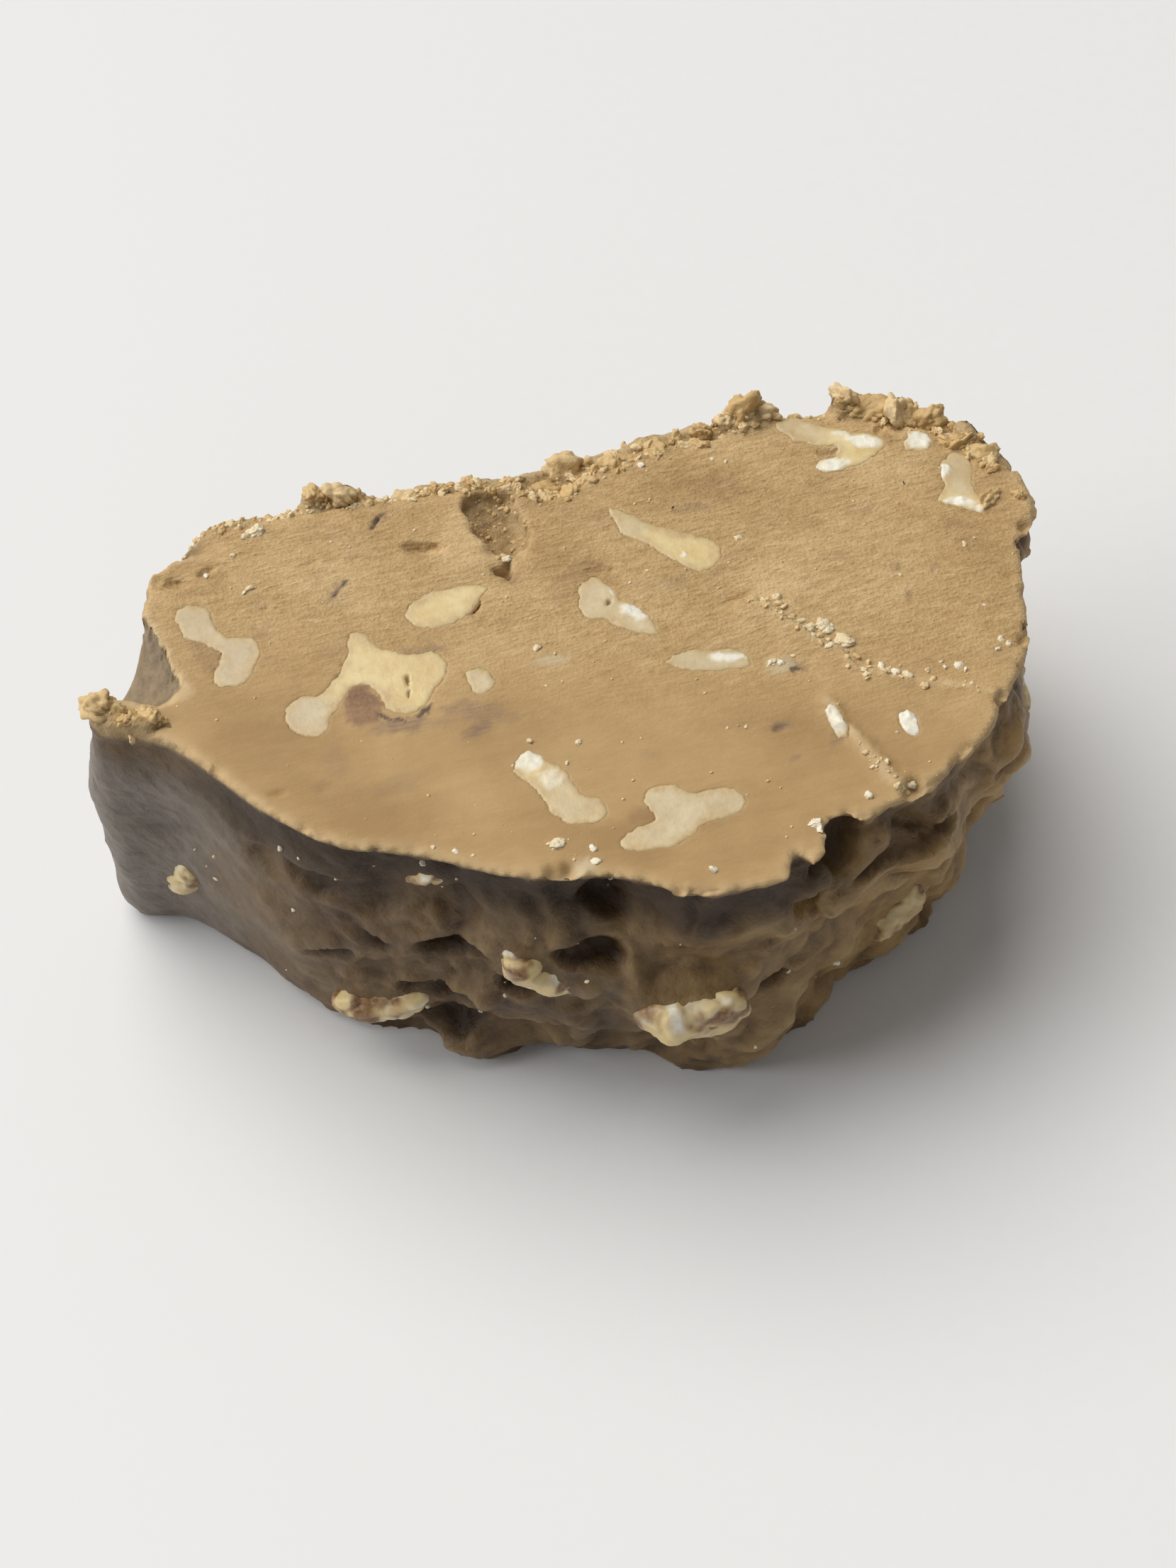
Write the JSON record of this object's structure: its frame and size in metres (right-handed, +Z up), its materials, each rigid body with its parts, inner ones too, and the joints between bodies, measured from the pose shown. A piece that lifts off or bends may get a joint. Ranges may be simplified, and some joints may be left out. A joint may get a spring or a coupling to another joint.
{
  "type": "slice of maple walnut fudge",
  "caption": "Thick slice of tan fudge cut from a hand-formed loaf, lying on a cut face, with pale walnut pieces sliced flush in the cuts and standing out of a craggy crust.",
  "frame": {"origin": "on the surface that the slice lies on, under the middle of its bounding box", "axes": "+Z up, out of the upper cut face; +X along the loaf's flat underside; +Y out of that underside, away from the domed crust"},
  "size_m": [0.109, 0.0672, 0.042],
  "materials": {
    "fudge": "satin tan fudge, finely grained where cut and waxy where it is crust",
    "walnut": "smooth pale walnut kernel where cut"
  },
  "bodies": {
    "root": {"fudge_slice": "fudge", "walnut_back_right": "walnut", "walnut_back_right_chip": "walnut", "walnut_right": "walnut", "walnut_middle_back": "walnut", "walnut_middle": "walnut", "walnut_left_oval": "walnut", "walnut_left_large": "walnut", "walnut_left_edge": "walnut", "walnut_cube": "walnut", "walnut_middle_right": "walnut", "walnut_front": "walnut", "walnut_front_right": "walnut", "walnut_right_chip": "walnut", "walnut_right_sliver": "walnut", "walnut_lower_1": "walnut", "walnut_lower_2": "walnut", "walnut_lower_3": "walnut", "walnut_lower_4": "walnut", "walnut_lower_5": "walnut", "walnut_crust_1": "walnut", "walnut_crust_2": "walnut", "walnut_crust_3": "walnut", "walnut_crust_4": "walnut", "walnut_crust_5": "walnut", "walnut_crust_6": "walnut", "walnut_crust_7": "walnut", "walnut_crust_8": "walnut", "walnut_crust_9": "walnut", "walnut_crust_10": "walnut"}
  },
  "joints": []
}
